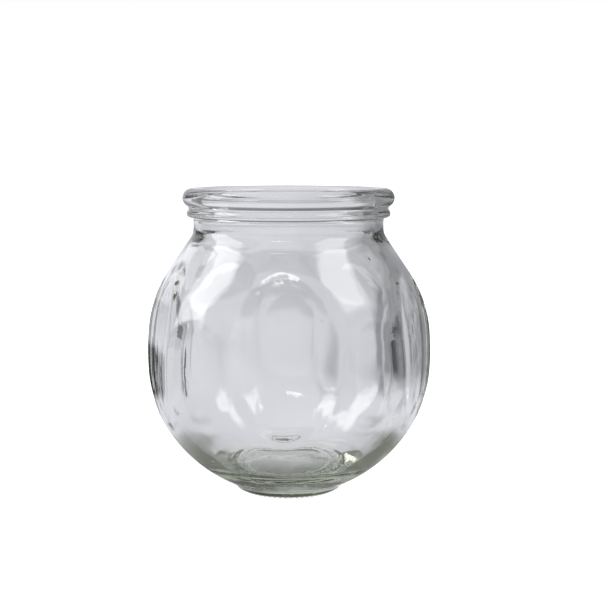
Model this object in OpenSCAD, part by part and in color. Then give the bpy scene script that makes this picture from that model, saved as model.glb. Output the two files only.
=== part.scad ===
// Cupping glass: one moulded piece of clear glass with a round rim bead, a collar bead,
// a short neck, a globe-shaped bowl with ten oval flats, and a heavy foot.
// The origin is the centre of the foot's underside, and +Z is the axis of the mouth.

/* [Mouth and rim] */
// Inside radius of the mouth, straight through the rim and the neck
mouth_r = 28.9; // [24:0.1:30]
// Outside radius of the rim bead
rim_r = 35; // [33:0.5:39]
// How far the straight mouth cuts into the inner side of the rim bead's round section
mouth_cut = 0.3; // [0.1:0.1:1]
// Height from the collar bead's centre to the rim bead's centre
rim_rise = 5.1; // [4:0.1:7]

/* [Neck and collar] */
// Wall of the neck
neck_wall = 2.5; // [2:0.1:3.5]
// Height from the top of the shoulder to the collar bead's centre
neck_h = 6.4; // [4:0.1:12]
// Radius of the collar bead's round section
collar_bead_r = 1.4; // [1:0.1:2]
// How far the collar bead stands out from the neck
collar_out = 2.3; // [1.2:0.1:2.6]
// Depth of the groove between the collar bead and the rim bead, below the collar
groove_cut = 0.8; // [0.4:0.1:1]

/* [Bowl] */
// Outside radius of the globe, over the ridges between the flats
bowl_r = 48.1; // [44:0.1:56]
// Wall of the bowl above the base
bowl_wall = 4; // [2.5:0.1:6]
// Lean of the straight shoulder away from the vertical, in degrees
shoulder_lean = 34; // [26:0.5:38]

/* [Oval flats] */
// Number of large flats, with one small flat between each two
flat_pairs = 5; // [4:1:7]
// Width of a large flat
large_flat_w = 35; // [24:0.5:40]
// Height of a large flat
large_flat_h = 50; // [44:0.5:54]
// How far a large flat's centre lies above the widest level of the bowl
large_flat_rise = 3.3; // [0:0.1:5]
// Width of a small flat
small_flat_w = 26.4; // [16:0.2:30]
// Height of a small flat
small_flat_h = 33.6; // [32:0.2:40]
// How far a small flat's centre lies below the widest level of the bowl
small_flat_drop = 1.7; // [0:0.1:5]

/* [Base] */
// Radius of the foot at its top, where the globe begins
foot_r = 19; // [18:0.5:24]
// Height of the foot
foot_h = 2.7; // [2:0.1:5]
// How far the foot draws in from its top to the ring that it stands on
foot_taper = 2.4; // [1:0.1:3]
// Thickness of the base on the axis, from the bearing plane to the inside floor
base_t = 12.5; // [9:0.5:15]
// Radius of the inside floor, which is pushed up a little in the middle
floor_dome_r = 300; // [80:5:500]
// Rounding between the inside floor and the wall
heel_round = 6; // [4:0.5:14]
// Radius of the hollow under the foot
hollow_r = 14.6; // [8:0.2:15]
// Depth of the hollow under the foot
hollow_depth = 1.5; // [0.8:0.1:3]

/* [Hidden] */
$fn = 144;

// Round section of the rim bead, which fills the width from the mouth to the outside
rim_bead_r = (rim_r - mouth_r + mouth_cut) / 2;

// Levels up the axis
bowl_z = foot_h + sqrt(bowl_r ^ 2 - foot_r ^ 2);
neck_r = mouth_r + neck_wall;
shoulder_r = bowl_r * cos(shoulder_lean);
shoulder_z = bowl_z + bowl_r * sin(shoulder_lean);
neck_z = shoulder_z + (shoulder_r - neck_r) / tan(shoulder_lean);
collar_z = neck_z + neck_h;
rim_z = collar_z + rim_rise;
top_z = rim_z + rim_bead_r;

// Outside radius of the groove, and of the ring that the foot stands on
groove_r = neck_r + collar_out - groove_cut;
bearing_r = foot_r - foot_taper;

// Middle of the inside floor's arc, and of the rounding that joins it to the wall
cavity_r = bowl_r - bowl_wall;
floor_z = base_t - floor_dome_r;
heel_centre = two_circles(bowl_z, cavity_r - heel_round, floor_z, floor_dome_r + heel_round);

// Radius of the sphere that cuts the hollow under the foot
hollow_sphere_r = (hollow_r ^ 2 + hollow_depth ^ 2) / (2 * hollow_depth);

// Spare length by which a cutting shape runs past what it cuts
past = 5;

// Point off the axis where two circles centred on the axis at z1 and z2 cross
function two_circles(z1, r1, z2, r2) =
    let (z = (r1 ^ 2 - r2 ^ 2 - z1 ^ 2 + z2 ^ 2) / (2 * (z2 - z1)))
    [sqrt(r1 ^ 2 - (z - z1) ^ 2), z];

// Point where a circle about the axis point at height z, of radius r, is met by the ray through p
function on_circle(z, r, p) =
    let (d = norm(p - [0, z]))
    [0, z] + (p - [0, z]) * r / d;

// Half-section of the globe and its straight shoulder, moved inwards by a wall
module globe_section(inset, top_r) {
    r = bowl_r - inset;
    tangent = [r * cos(shoulder_lean), bowl_z + r * sin(shoulder_lean)];
    peak = tangent[1] + (tangent[0] - top_r) / tan(shoulder_lean);
    intersection() {
        union() {
            translate([0, bowl_z]) circle(r);
            polygon([[0, bowl_z], tangent, [top_r, peak], [0, peak]]);
        }
        translate([0, foot_h]) square([bowl_r + past, peak - foot_h]);
    }
}

// What one flat takes away: a block on the outside of a barrel that is level across the flat
// and gently bowed up and down it
module flat_cut(width, height, rise, inset) {
    across = asin(width / 2 / bowl_r);
    upright = asin(height / 2 / bowl_r);
    bow = bowl_r * (cos(across) - cos(upright));
    barrel_r = ((height / 2) ^ 2 + bow ^ 2) / (2 * bow);
    flat_y = bowl_r * cos(across) - inset;
    tilt = asin(rise / bowl_r);
    translate([0, 0, bowl_z])
        rotate([-tilt, 0, 0])
        difference() {
            translate([-width / 2 - past, -bowl_r - past, -height / 2 - past])
                cube([width + 2 * past, bowl_r + past - flat_y + bow + past, height + 2 * past]);
            translate([0, barrel_r - inset - flat_y, 0])
                rotate([0, 90, 0])
                cylinder(r = barrel_r - inset, h = width + 4 * past, center = true);
        }
}

// All the flats, large ones first, the first of them facing -Y
module flat_cuts(inset) {
    step = 360 / flat_pairs;
    for (i = [0 : flat_pairs - 1]) {
        rotate([0, 0, i * step])
            flat_cut(large_flat_w, large_flat_h, large_flat_rise, inset);
        rotate([0, 0, (i + 0.5) * step])
            flat_cut(small_flat_w, small_flat_h, -small_flat_drop, inset);
    }
}

module bowl() {
    difference() {
        rotate_extrude() globe_section(0, neck_r);
        flat_cuts(0);
    }
}

module neck_and_rim() {
    rotate_extrude() {
        translate([0, shoulder_z]) square([neck_r, rim_z - shoulder_z]);
        translate([neck_r + collar_out - collar_bead_r, collar_z]) circle(collar_bead_r);
        translate([0, collar_z]) square([groove_r, rim_rise]);
        translate([rim_r - rim_bead_r, rim_z]) circle(rim_bead_r);
    }
}

module foot() {
    rotate_extrude() polygon([[0, 0], [bearing_r, 0], [foot_r, foot_h], [0, foot_h]]);
}

// Half-section of the hollow inside of the bowl, with its domed floor and rounded heel
module cavity_section() {
    wall_point = on_circle(bowl_z, cavity_r, heel_centre);
    floor_point = on_circle(floor_z, floor_dome_r, heel_centre);
    corner = two_circles(bowl_z, cavity_r, floor_z, floor_dome_r);
    heel = [heel_centre, wall_point, corner + [past, -past], floor_point];
    difference() {
        globe_section(bowl_wall, mouth_r);
        translate([0, floor_z]) circle(floor_dome_r);
        polygon(heel);
    }
    intersection() {
        translate(heel_centre) circle(heel_round);
        polygon(heel);
    }
}

module cavity() {
    difference() {
        rotate_extrude() cavity_section();
        flat_cuts(bowl_wall);
    }
    translate([0, 0, bowl_z]) cylinder(r = mouth_r, h = top_z - bowl_z + past);
}

module glass_cup() {
    color([0.86, 0.9, 0.88])
        difference() {
            union() {
                bowl();
                neck_and_rim();
                foot();
            }
            cavity();
            translate([0, 0, hollow_depth - hollow_sphere_r]) sphere(hollow_sphere_r);
        }
}

glass_cup();
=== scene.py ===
import math

import bmesh
import bpy
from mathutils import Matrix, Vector, noise


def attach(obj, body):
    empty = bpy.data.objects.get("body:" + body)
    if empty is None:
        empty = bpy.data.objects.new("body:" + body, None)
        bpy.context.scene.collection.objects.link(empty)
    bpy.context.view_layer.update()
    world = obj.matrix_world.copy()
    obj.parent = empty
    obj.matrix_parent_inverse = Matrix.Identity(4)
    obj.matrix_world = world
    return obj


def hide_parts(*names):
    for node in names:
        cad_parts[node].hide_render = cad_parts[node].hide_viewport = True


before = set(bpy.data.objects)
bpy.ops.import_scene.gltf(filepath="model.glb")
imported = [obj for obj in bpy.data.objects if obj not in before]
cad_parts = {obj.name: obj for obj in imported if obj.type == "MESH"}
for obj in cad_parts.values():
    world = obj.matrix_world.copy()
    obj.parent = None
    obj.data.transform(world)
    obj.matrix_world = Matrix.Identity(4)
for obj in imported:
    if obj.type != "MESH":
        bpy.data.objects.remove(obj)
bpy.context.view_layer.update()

# The view: the glass is seen from less than half a metre away, a little from above its rim,
# with a large flat nearly square to the lens. The frame is square, and the glass stands in
# it left of the middle and low.
mm = 0.001
frame_side = 607
aim_pixel = (288.5, 342.5)
aim = Vector((0, 0, 49.5 * mm))
eye_distance = 436 * mm
eye_height = 113.3 * mm
eye_turn = math.radians(1.7)

lens = bpy.data.cameras.new("lens")
lens.sensor_width = 36
lens.lens = 78
lens.shift_x = 0.5 - aim_pixel[0] / frame_side
lens.shift_y = aim_pixel[1] / frame_side - 0.5
eye = bpy.data.objects.new("eye", lens)
bpy.context.scene.collection.objects.link(eye)
eye.location = (eye_distance * math.sin(eye_turn), -eye_distance * math.cos(eye_turn), eye_height)
eye.rotation_euler = (aim - eye.location).to_track_quat("-Z", "Y").to_euler()
bpy.context.scene.camera = eye

# The glass: one moulded piece of clear soda-lime glass, blown in a mould with ten oval
# flats, with its rim and collar bead pressed and the edges melted round in the fire.
# Its foot stands on a stippled ring, and the glass looks grey-green where it is thick.
mouth_r = 28.9 * mm
mouth_cut = 0.3 * mm
rim_r = 35 * mm
rim_rise = 5.1 * mm
neck_wall = 2.5 * mm
neck_h = 6.4 * mm
collar_bead_r = 1.4 * mm
collar_out = 2.3 * mm
groove_cut = 0.8 * mm
bowl_r = 48.1 * mm
bowl_wall = 4 * mm
shoulder_lean = math.radians(34)
foot_r = 19 * mm
foot_h = 2.7 * mm
foot_taper = 2.4 * mm
base_t = 12.5 * mm
floor_dome_r = 300 * mm
heel_round = 6 * mm
hollow_r = 14.6 * mm
hollow_depth = 1.5 * mm


def half_chord(radius, offset):
    """Half the length of a chord that passes a circle's middle at an offset."""
    return math.sqrt(radius ** 2 - offset ** 2)


neck_r = mouth_r + neck_wall
collar_r = neck_r + collar_out
groove_r = collar_r - groove_cut
bearing_r = foot_r - foot_taper
rim_bead_r = (rim_r - mouth_r + mouth_cut) / 2
cavity_r = bowl_r - bowl_wall
bowl_z = foot_h + half_chord(bowl_r, foot_r)
shoulder_z = bowl_z + bowl_r * math.sin(shoulder_lean)
neck_z = shoulder_z + (bowl_r * math.cos(shoulder_lean) - neck_r) / math.tan(shoulder_lean)
collar_z = neck_z + neck_h
rim_z = collar_z + rim_rise

section = bmesh.new()


def bend(last, centre, degrees, steps):
    """Carry the glass's half-section on along an arc about a centre, anticlockwise if positive."""
    made = bmesh.ops.spin(
        section, geom=[last], cent=(centre[0], 0, centre[1]), axis=(0, -1, 0),
        angle=math.radians(degrees), steps=steps,
    )
    return next(g for g in made["geom_last"] if isinstance(g, bmesh.types.BMVert))


def run(last, x, z, steps):
    """Carry the glass's half-section on in a straight line."""
    start = last.co.copy()
    for step in range(steps):
        last = bmesh.ops.extrude_vert_indiv(section, verts=[last])["verts"][0]
        last.co = start.lerp(Vector((x, 0, z)), (step + 1) / steps)
    return last


def degrees_of(point, centre):
    """Direction of a point of the half-section from a centre."""
    return math.degrees(math.atan2(point[1] - centre[1], point[0] - centre[0]))


# Underside: the hollow, the bearing ring and the tapered foot
hollow_sphere_r = (hollow_r ** 2 + hollow_depth ** 2) / (2 * hollow_depth)
hollow_middle = (0, hollow_depth - hollow_sphere_r)
hollow_arc = math.degrees(math.asin(hollow_r / hollow_sphere_r))
under_middle = section.verts.new((0, 0, hollow_depth))
tip = bend(under_middle, hollow_middle, -hollow_arc, steps=10)
tip = run(tip, bearing_r, 0, steps=12)
tip = run(tip, foot_r, foot_h, steps=6)

# Outside: the globe, the straight shoulder and the neck
bowl_middle = (0, bowl_z)
bowl_start = degrees_of((foot_r, foot_h), bowl_middle)
bowl_end = math.degrees(shoulder_lean)
tip = bend(tip, bowl_middle, bowl_end - bowl_start, steps=84)
tip = run(tip, neck_r, neck_z, steps=18)

# Collar bead, groove and rim bead
collar_middle = (collar_r - collar_bead_r, collar_z)
collar_foot = (neck_r, collar_z - half_chord(collar_bead_r, collar_middle[0] - neck_r))
collar_top = (groove_r, collar_z + half_chord(collar_bead_r, collar_middle[0] - groove_r))
collar_arc = degrees_of(collar_top, collar_middle) - degrees_of(collar_foot, collar_middle)
rim_middle = (rim_r - rim_bead_r, rim_z)
rim_foot = (groove_r, rim_z - half_chord(rim_bead_r, rim_middle[0] - groove_r))
rim_inside = (mouth_r, rim_z + half_chord(rim_bead_r, rim_middle[0] - mouth_r))
rim_arc = degrees_of(rim_inside, rim_middle) - degrees_of(rim_foot, rim_middle)
tip = run(tip, *collar_foot, steps=6)
tip = bend(tip, collar_middle, collar_arc, steps=16)
tip = run(tip, *rim_foot, steps=2)
tip = bend(tip, rim_middle, rim_arc, steps=34)

# Inside: the straight mouth, the shoulder, the wall of the bowl, the heel and the domed floor
cavity_shoulder = (cavity_r * math.cos(shoulder_lean), bowl_z + cavity_r * math.sin(shoulder_lean))
mouth_end = cavity_shoulder[1] + (cavity_shoulder[0] - mouth_r) / math.tan(shoulder_lean)
dome_z = base_t - floor_dome_r
dome_middle = (0, dome_z)
wall_reach = cavity_r - heel_round
dome_reach = floor_dome_r + heel_round
heel_z = (dome_reach ** 2 - wall_reach ** 2 + bowl_z ** 2 - dome_z ** 2) / (2 * (bowl_z - dome_z))
heel_middle = (half_chord(wall_reach, heel_z - bowl_z), heel_z)
wall_end = degrees_of(heel_middle, bowl_middle)
dome_end = degrees_of(heel_middle, dome_middle)
tip = run(tip, mouth_r, mouth_end, steps=10)
tip = run(tip, *cavity_shoulder, steps=10)
tip = bend(tip, bowl_middle, wall_end - bowl_end, steps=50)
tip = bend(tip, heel_middle, dome_end - 180 - wall_end, steps=16)
tip = bend(tip, dome_middle, 90 - dome_end, steps=24)

# The fire melts the corners of the section round
fire_passes = 3
melted = [v for v in section.verts if v not in (under_middle, tip)]
for fire_pass in range(fire_passes):
    bmesh.ops.smooth_vert(section, verts=melted, factor=0.5, use_axis_x=True, use_axis_z=True)

# One fifth of the glass is turned from the section, and repeated round the axis
fifths = 5
fifth_steps = 64
fifth = 2 * math.pi / fifths
weld = 0.001 * mm
axis_turn = {"cent": (0, 0, 0), "axis": (0, 0, 1)}
outline = section.verts[:] + section.edges[:]
bmesh.ops.spin(section, geom=outline, angle=fifth, steps=fifth_steps, **axis_turn)
wedge = section.verts[:] + section.edges[:] + section.faces[:]
bmesh.ops.spin(
    section, geom=wedge, angle=2 * math.pi - fifth, steps=fifths - 1,
    use_duplicate=True, **axis_turn,
)
bmesh.ops.remove_doubles(section, verts=section.verts, dist=weld)
bmesh.ops.recalc_face_normals(section, faces=section.faces)

# Oval flats of the mould, five large ones and five small ones between them: the width and height
# of each, and how far its middle lies above the bowl's widest level. Edges are softer inside.
large_flat = (35 * mm, 50 * mm, 3.3 * mm)
small_flat = (26.4 * mm, 33.6 * mm, -1.7 * mm)
edge_soft = 0.25 * mm
ridge_soft = 1.2 * mm
inner_edge_soft = 1.5 * mm
inner_ridge_soft = 6 * mm


def flat_reach(direction, turn, flat, inset):
    """Distance from the middle of the globe to a flat, along a direction that is turned away from it."""
    width, height, rise = flat
    level = half_chord(bowl_r, width / 2)
    bow = level - half_chord(bowl_r, height / 2)
    barrel_r = ((height / 2) ** 2 + bow ** 2) / (2 * bow) - inset
    barrel_y = barrel_r - (level - inset)
    tilt = math.asin(rise / bowl_r)
    outward = math.hypot(direction.x, direction.y) * math.cos(turn)
    y = -outward * math.cos(tilt) - direction.z * math.sin(tilt)
    z = direction.z * math.cos(tilt) - outward * math.sin(tilt)
    squares = y * y + z * z
    along = y * barrel_y
    return (along + math.sqrt(along ** 2 + squares * (barrel_r ** 2 - barrel_y ** 2))) / squares


def soft_least(a, b, soft):
    """The smaller of two distances, rounded off where they are nearly equal."""
    blend = max(soft - abs(a - b), 0) / soft
    return min(a, b) - blend * blend * soft / 4


def off_nearest(turn, step):
    """Angle from the nearest of the places that stand a step apart round the axis."""
    return (turn + step / 2) % step - step / 2


# Blown against nothing but air, the inside is a little wavy, most of all on its floor
wave_h = 0.1 * mm
wave_w = 10 * mm
ripple_h = 0.03 * mm
ripple_w = 3.5 * mm
floor_ripple_h = 0.08 * mm
floor_ripple_w = 4 * mm
floor_ripple_fade = 8 * mm
floor_ripple_top = base_t + floor_ripple_fade
globe_middle = Vector((0, 0, bowl_z))
for vert in section.verts:
    if not foot_h < vert.co.z < neck_z:
        continue
    arm = vert.co - globe_middle
    reach = arm.length
    inside = reach < bowl_r - bowl_wall / 2
    inset = bowl_wall if inside else 0
    flat_soft = inner_ridge_soft if inside else ridge_soft
    globe_soft = inner_edge_soft if inside else edge_soft
    direction = arm / reach
    turn = abs(off_nearest(math.atan2(direction.x, -direction.y), fifth))
    large_reach = flat_reach(direction, turn, large_flat, inset)
    small_reach = flat_reach(direction, fifth / 2 - turn, small_flat, inset)
    reach = soft_least(reach, soft_least(large_reach, small_reach, flat_soft), globe_soft)
    if inside:
        reach += wave_h * noise.noise(arm / wave_w) + ripple_h * noise.noise(arm / ripple_w)
        low = min(max((floor_ripple_top - vert.co.z) / floor_ripple_fade, 0), 1)
        reach += low * floor_ripple_h * noise.noise(arm / floor_ripple_w)
    vert.co = globe_middle + direction * reach

# Stipple of the bearing ring: a row of small round bumps that reach down to the table
bump_count = 55
bump_r = 0.75 * mm
bump_h = 0.5 * mm
bump_turn = 2 * math.pi / bump_count
ring_r = (hollow_r + bearing_r) / 2
ring_w = bearing_r - hollow_r
ring_fade = 0.6 * mm
for vert in section.verts:
    radius = math.hypot(vert.co.x, vert.co.y)
    sunk = min((ring_w / 2 + ring_fade - abs(radius - ring_r)) / ring_fade, 1)
    if vert.co.z > foot_h / 2 or sunk <= 0:
        continue
    along = off_nearest(math.atan2(vert.co.y, vert.co.x), bump_turn) * radius
    dome = max(1 - (along ** 2 + (radius - ring_r) ** 2) / bump_r ** 2, 0)
    vert.co.z += bump_h * sunk * (1 - dome)

glass_mesh = bpy.data.meshes.new("glass")
section.to_mesh(glass_mesh)
section.free()
for face in glass_mesh.polygons:
    face.use_smooth = True
glass = bpy.data.objects.new("glass", glass_mesh)
bpy.context.scene.collection.objects.link(glass)

clear = bpy.data.materials.new("clear_glass")
clear.use_nodes = True
nodes = clear.node_tree.nodes
links = clear.node_tree.links
skin = nodes["Principled BSDF"]
skin.inputs["Base Color"].default_value = (1, 1, 1, 1)
skin.inputs["Transmission Weight"].default_value = 1
skin.inputs["IOR"].default_value = 1.5

# Its skin is not quite even: faint dull patches, a fine orange-peel texture and a few small pits
patches_per_metre = 70
peel_per_metre = 420
pits_per_metre = 60
dullest = 0.05
peel_depth = 0.03 * mm
pit_depth = 0.25 * mm
place = nodes.new("ShaderNodeTexCoord").outputs["Object"]
patches = nodes.new("ShaderNodeTexNoise")
patches.inputs["Scale"].default_value = patches_per_metre
patches.inputs["Detail"].default_value = 3
links.new(place, patches.inputs["Vector"])
dull = nodes.new("ShaderNodeMapRange")
dull.inputs["From Min"].default_value = 0.45
dull.inputs["From Max"].default_value = 0.75
dull.inputs["To Max"].default_value = dullest
links.new(patches.outputs[0], dull.inputs["Value"])
links.new(dull.outputs[0], skin.inputs["Roughness"])
peel = nodes.new("ShaderNodeTexNoise")
peel.inputs["Scale"].default_value = peel_per_metre
peel.inputs["Detail"].default_value = 2
links.new(place, peel.inputs["Vector"])
peel_bump = nodes.new("ShaderNodeBump")
peel_bump.inputs["Strength"].default_value = 0.5
peel_bump.inputs["Distance"].default_value = peel_depth
links.new(peel.outputs[0], peel_bump.inputs["Height"])
spots = nodes.new("ShaderNodeTexVoronoi")
spots.inputs["Scale"].default_value = pits_per_metre
links.new(place, spots.inputs["Vector"])
pit = nodes.new("ShaderNodeMapRange")
pit.interpolation_type = "SMOOTHSTEP"
pit.inputs["From Max"].default_value = 0.05
links.new(spots.outputs["Distance"], pit.inputs["Value"])
pit_bump = nodes.new("ShaderNodeBump")
pit_bump.inputs["Strength"].default_value = 0.7
pit_bump.inputs["Distance"].default_value = pit_depth
links.new(pit.outputs[0], pit_bump.inputs["Height"])
links.new(peel_bump.outputs[0], pit_bump.inputs["Normal"])
links.new(pit_bump.outputs[0], skin.inputs["Normal"])
body = nodes.new("ShaderNodeVolumeAbsorption")
body.inputs["Color"].default_value = (0.45, 0.5, 0.35, 1)
body.inputs["Density"].default_value = 20
links.new(body.outputs["Volume"], nodes["Material Output"].inputs["Volume"])
glass_mesh.materials.append(clear)

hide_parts("glass_cup")
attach(glass, "root")

# The table: a plain pale floor of matte white board that runs far past the frame. The lens
# finds it white. The glass finds painted shadow on it under the bowl, painted light that keeps
# it white behind, and painted shade that makes it darker to the right and far off.
table_r = 4.0
table = bmesh.new()
bmesh.ops.create_circle(table, cap_ends=True, segments=96, radius=table_r)
floor_mesh = bpy.data.meshes.new("floor")
table.to_mesh(floor_mesh)
table.free()
floor = bpy.data.objects.new("floor", floor_mesh)
bpy.context.scene.collection.objects.link(floor)


def either_ray(tree, kinds):
    """One for the rays of the given kinds, and nought for the others."""
    path = tree.nodes.new("ShaderNodeLightPath")
    total = path.outputs[kinds[0]]
    for kind in kinds[1:]:
        either = tree.nodes.new("ShaderNodeMath")
        either.operation = "MAXIMUM"
        tree.links.new(total, either.inputs[0])
        tree.links.new(path.outputs[kind], either.inputs[1])
        total = either.outputs[0]
    return total


def multiply(tree, a, b):
    """Product of two values."""
    times = tree.nodes.new("ShaderNodeMath")
    times.operation = "MULTIPLY"
    tree.links.new(a, times.inputs[0])
    tree.links.new(b, times.inputs[1])
    return times.outputs[0]


def graded(tree, value, levels):
    """Brightness that follows a value between -1 and 1, by its level at a few places."""
    span = tree.nodes.new("ShaderNodeMapRange")
    span.inputs["From Min"].default_value = -1
    span.inputs["From Max"].default_value = 1
    tree.links.new(value, span.inputs["Value"])
    ramp = tree.nodes.new("ShaderNodeValToRGB")
    stops = ramp.color_ramp.elements
    stops.remove(stops[-1])
    for i, (x, grey) in enumerate(levels):
        stop = stops.new((x + 1) / 2) if i else stops[0]
        stop.position = (x + 1) / 2
        stop.color = (grey, grey, grey, 1)
    tree.links.new(span.outputs[0], ramp.inputs[0])
    return ramp.outputs["Color"]


def passage(tree, value, start, end, low=0, high=1):
    """Low up to the start of a passage, then smoothly on to high at its end."""
    slope = tree.nodes.new("ShaderNodeMapRange")
    slope.interpolation_type = "SMOOTHSTEP"
    slope.inputs["From Min"].default_value = start
    slope.inputs["From Max"].default_value = end
    slope.inputs["To Min"].default_value = low
    slope.inputs["To Max"].default_value = high
    tree.links.new(value, slope.inputs["Value"])
    return slope.outputs[0]


def oval_distance(tree, place, middle, half_width, half_depth):
    """Distance over the table from the middle of an oval, one at its edge."""
    share = tree.nodes.new("ShaderNodeVectorMath")
    share.operation = "MULTIPLY_ADD"
    share.inputs[1].default_value = (1 / half_width, 1 / half_depth, 0)
    share.inputs[2].default_value = (-middle[0] / half_width, -middle[1] / half_depth, 0)
    tree.links.new(place, share.inputs[0])
    length = tree.nodes.new("ShaderNodeVectorMath")
    length.operation = "LENGTH"
    tree.links.new(share.outputs[0], length.inputs[0])
    return length.outputs["Value"]


paper = bpy.data.materials.new("white_table")
paper.use_nodes = True
tree = paper.node_tree
nodes = tree.nodes
links = tree.links
nodes.remove(nodes["Principled BSDF"])
spot = nodes.new("ShaderNodeNewGeometry").outputs["Position"]
from_glass = nodes.new("ShaderNodeVectorMath")
from_glass.operation = "SUBTRACT"
from_glass.inputs[1].default_value = globe_middle
links.new(spot, from_glass.inputs[0])
way = nodes.new("ShaderNodeVectorMath")
way.operation = "NORMALIZE"
links.new(from_glass.outputs[0], way.inputs[0])
parts = nodes.new("ShaderNodeSeparateXYZ")
links.new(way.outputs[0], parts.inputs[0])

# Painted shadow under the bowl, except behind, where a painted pool of light stands for the light the
# glass throws on the table
metre = 1
shade_middle = (6 * mm, 0)
shade_r = 40 * mm
open_r = 88 * mm
thrown_middle = (0, 52 * mm)
thrown_half_w = 30 * mm
thrown_half_d = 45 * mm
thrown_fade = 1.6
away = oval_distance(tree, spot, shade_middle, metre, metre)
outside_painted_shadow = passage(tree, away, start=shade_r, end=open_r)
thrown = oval_distance(tree, spot, thrown_middle, thrown_half_w, thrown_half_d)
painted_thrown_light = passage(tree, thrown, start=1, end=thrown_fade, low=1, high=0)
# Painted light mask: the open table, or the painted pool of light behind the bowl
painted_lit = nodes.new("ShaderNodeMath")
painted_lit.operation = "MAXIMUM"
links.new(outside_painted_shadow, painted_lit.inputs[0])
links.new(painted_thrown_light, painted_lit.inputs[1])

# Past the bowl, painted shade sets its brightness by the side on which it lies, and by how far off it is
beside_r = 120 * mm
aside_r = 260 * mm
# Levels of the painted shade: by the side of the glass on which the table lies, then by its distance
painted_side_levels = (
    (-0.85, 0.95), (-0.65, 1.12), (-0.1, 1), (0.14, 0.94), (0.3, 0.42), (0.8, 0.4), (0.92, 0.1),
)
painted_distance_levels = ((0.15, 0.97), (0.3, 0.94), (0.52, 0.94), (0.66, 0.81), (0.95, 0.78))
side = nodes.new("ShaderNodeMix")
links.new(passage(tree, away, start=beside_r, end=aside_r), side.inputs["Factor"])
side.inputs["A"].default_value = 1
links.new(graded(tree, parts.outputs["X"], painted_side_levels), side.inputs["B"])
painted_far_shade = graded(tree, away, painted_distance_levels)
# Painted shade: the grey-green colour of the painted shadow, mixed to the pale open colour by the
# painted light mask
painted_table_shade = nodes.new("ShaderNodeMix")
painted_table_shade.data_type = "RGBA"
links.new(painted_lit.outputs[0], painted_table_shade.inputs["Factor"])
painted_table_shade.inputs["A"].default_value = (0.2, 0.212, 0.185, 1)
painted_table_shade.inputs["B"].default_value = (0.8, 0.8, 0.87, 1)
# An emission that paints this light and shade on the table for the rays that come through the glass
painted_table_for_glass = nodes.new("ShaderNodeEmission")
links.new(painted_table_shade.outputs["Result"], painted_table_for_glass.inputs["Color"])
links.new(multiply(tree, side.outputs["Result"], painted_far_shade), painted_table_for_glass.inputs["Strength"])

# For the lens it is matte, and lifted to white
matte = nodes.new("ShaderNodeBsdfDiffuse")
matte.inputs["Color"].default_value = (0.8, 0.8, 0.8, 1)
lift = nodes.new("ShaderNodeEmission")
lift.inputs["Color"].default_value = (1, 1, 1, 1)
lift.inputs["Strength"].default_value = 0.75
to_lens = nodes.new("ShaderNodeAddShader")
links.new(matte.outputs[0], to_lens.inputs[0])
links.new(lift.outputs[0], to_lens.inputs[1])
table_look = nodes.new("ShaderNodeMixShader")
links.new(either_ray(tree, ["Is Camera Ray"]), table_look.inputs[0])
links.new(painted_table_for_glass.outputs[0], table_look.inputs[1])
links.new(to_lens.outputs[0], table_look.inputs[2])
links.new(table_look.outputs[0], nodes["Material Output"].inputs["Surface"])
floor_mesh.materials.append(paper)

# The light: a large softbox on the left, a window at the upper right, a thin strip in front,
# and a pale surround. The lens sees the surround white. The glass also sees its dark right
# side, the dark ceiling, a dark curtain low on the left, and the dimmer room in front.
wall_sides = (
    (-0.8, 0.85), (-0.66, 1.25), (-0.3, 1.15), (0, 0.9), (0.14, 0.88), (0.24, 0.45), (1, 0.36),
)
ceiling_heights = ((0.27, 1), (0.4, 0.27), (0.75, 0.27), (0.92, 1))
front_level = 0.7
curtain_level = 0.3

world = bpy.data.worlds.new("surround")
bpy.context.scene.world = world
world.use_nodes = True
tree = world.node_tree
nodes = tree.nodes
links = tree.links
fill = nodes["Background"]
fill.inputs["Color"].default_value = (1, 1, 1, 1)
fill.inputs["Strength"].default_value = 1.1
white = nodes.new("ShaderNodeBackground")
white.inputs["Color"].default_value = (1, 1, 1, 1)
walls = nodes.new("ShaderNodeBackground")
walls.inputs["Color"].default_value = (0.82, 0.82, 0.88, 1)
direction = nodes.new("ShaderNodeTexCoord")
parts = nodes.new("ShaderNodeSeparateXYZ")
links.new(direction.outputs["Generated"], parts.inputs[0])
level = graded(tree, parts.outputs["X"], wall_sides)
ceiling = graded(tree, parts.outputs["Z"], ceiling_heights)
front = passage(tree, parts.outputs["Y"], start=-0.3, end=0.1, low=front_level)
drawn = passage(tree, parts.outputs["X"], start=-0.6, end=-0.5, low=curtain_level)
curtain = nodes.new("ShaderNodeMix")
links.new(passage(tree, parts.outputs["Z"], start=0.1, end=0.18), curtain.inputs["Factor"])
links.new(drawn, curtain.inputs["A"])
curtain.inputs["B"].default_value = 1
sides = multiply(tree, level, curtain.outputs["Result"])
room = multiply(tree, multiply(tree, ceiling, front), sides)
links.new(room, walls.inputs["Strength"])
surround = fill
for rays, light in (
    (["Is Glossy Ray", "Is Transmission Ray"], walls),
    (["Is Camera Ray"], white),
):
    choose = nodes.new("ShaderNodeMixShader")
    links.new(either_ray(tree, rays), choose.inputs[0])
    links.new(surround.outputs[0], choose.inputs[1])
    links.new(light.outputs[0], choose.inputs[2])
    surround = choose
links.new(surround.outputs[0], nodes["World Output"].inputs["Surface"])


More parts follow.
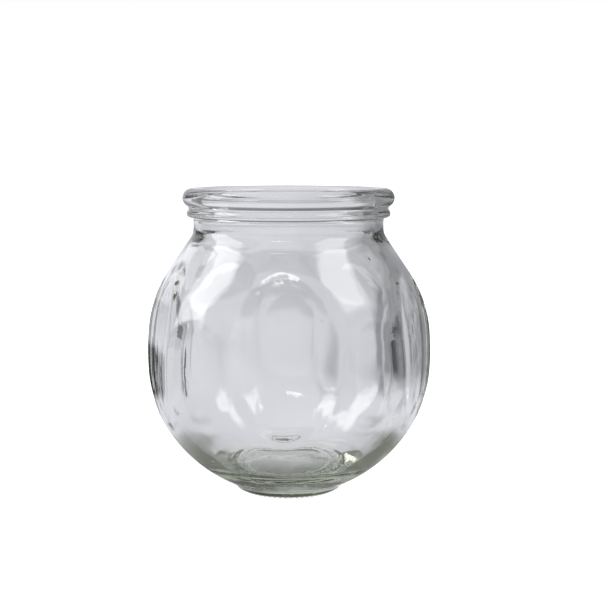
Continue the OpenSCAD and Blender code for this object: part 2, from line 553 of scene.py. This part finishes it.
def softbox(name, place, width, height, watts, soft):
    """Set up a rectangular light that faces the middle of the glass and fades out along its edges."""
    lamp = bpy.data.lights.new(name, "AREA")
    lamp.shape = "RECTANGLE"
    lamp.size = width
    lamp.size_y = height
    lamp.energy = watts
    lamp.use_nodes = True
    tree = lamp.node_tree
    sheet = tree.nodes.new("ShaderNodeSeparateXYZ")
    across_sheet = tree.nodes.new("ShaderNodeNewGeometry").outputs["Parametric"]
    tree.links.new(across_sheet, sheet.inputs[0])
    glow = []
    for axis in ("X", "Y"):
        from_edge = tree.nodes.new("ShaderNodeMath")
        from_edge.operation = "PINGPONG"
        from_edge.inputs[1].default_value = 0.5
        tree.links.new(sheet.outputs[axis], from_edge.inputs[0])
        glow.append(passage(tree, from_edge.outputs[0], start=0, end=soft))
    tree.links.new(multiply(tree, *glow), tree.nodes["Emission"].inputs["Strength"])
    box = bpy.data.objects.new(name, lamp)
    bpy.context.scene.collection.objects.link(box)
    box.location = place
    box.rotation_euler = (globe_middle - Vector(place)).to_track_quat("-Z", "Y").to_euler()
    box.visible_camera = False


softbox("left_softbox", place=(-0.78, -0.02, 0.53), width=0.5, height=0.86, watts=5.4, soft=0.14)
softbox("right_window", place=(0.46, -0.2, 0.56), width=0.38, height=0.44, watts=1.8, soft=0.16)
softbox("front_strip", place=(-0.06, -0.42, 0.55), width=0.22, height=0.02, watts=0.13, soft=0.1)

# The black card: a small oval board of black card that stands behind the glass on the left
# and faces it, with its edge faded. The lens does not see it, and it throws no shadow; it
# puts the dark edge on the left side of the glass.
card_w = 36 * mm
card_h = 38 * mm
card_middle = Vector((-98 * mm, 104 * mm, 20 * mm))
card_solid_r = 0.35 * card_h
card_edge_r = 0.5 * card_h
board = bmesh.new()
bmesh.ops.create_circle(board, cap_ends=True, segments=48, radius=0.5)
bmesh.ops.scale(board, verts=board.verts, vec=(card_w, card_h, 1))
facing = (globe_middle - card_middle).to_track_quat("Z", "Y").to_matrix()
bmesh.ops.rotate(board, verts=board.verts, cent=(0, 0, 0), matrix=facing)
bmesh.ops.translate(board, verts=board.verts, vec=card_middle)
card_mesh = bpy.data.meshes.new("black_card")
board.to_mesh(card_mesh)
board.free()
card = bpy.data.objects.new("black_card", card_mesh)
bpy.context.scene.collection.objects.link(card)
card.visible_camera = False
card.visible_diffuse = False
card.visible_shadow = False
black = bpy.data.materials.new("black_board")
black.use_nodes = True
tree = black.node_tree
board_skin = tree.nodes["Principled BSDF"]
board_skin.inputs["Base Color"].default_value = (0.01, 0.01, 0.01, 1)
from_middle = tree.nodes.new("ShaderNodeVectorMath")
from_middle.operation = "DISTANCE"
from_middle.inputs[1].default_value = card_middle
spot = tree.nodes.new("ShaderNodeNewGeometry").outputs["Position"]
tree.links.new(spot, from_middle.inputs[0])
solid = passage(
    tree, from_middle.outputs["Value"], start=card_solid_r, end=card_edge_r, low=1, high=0,
)
tree.links.new(solid, board_skin.inputs["Alpha"])
card_mesh.materials.append(black)

# The picture: plain colours, with paths long enough for light to cross the walls of the glass
# many times.
path_bounces = 48
scene = bpy.context.scene
scene.view_settings.view_transform = "Standard"
scene.cycles.max_bounces = path_bounces
scene.cycles.glossy_bounces = path_bounces
scene.cycles.transmission_bounces = path_bounces
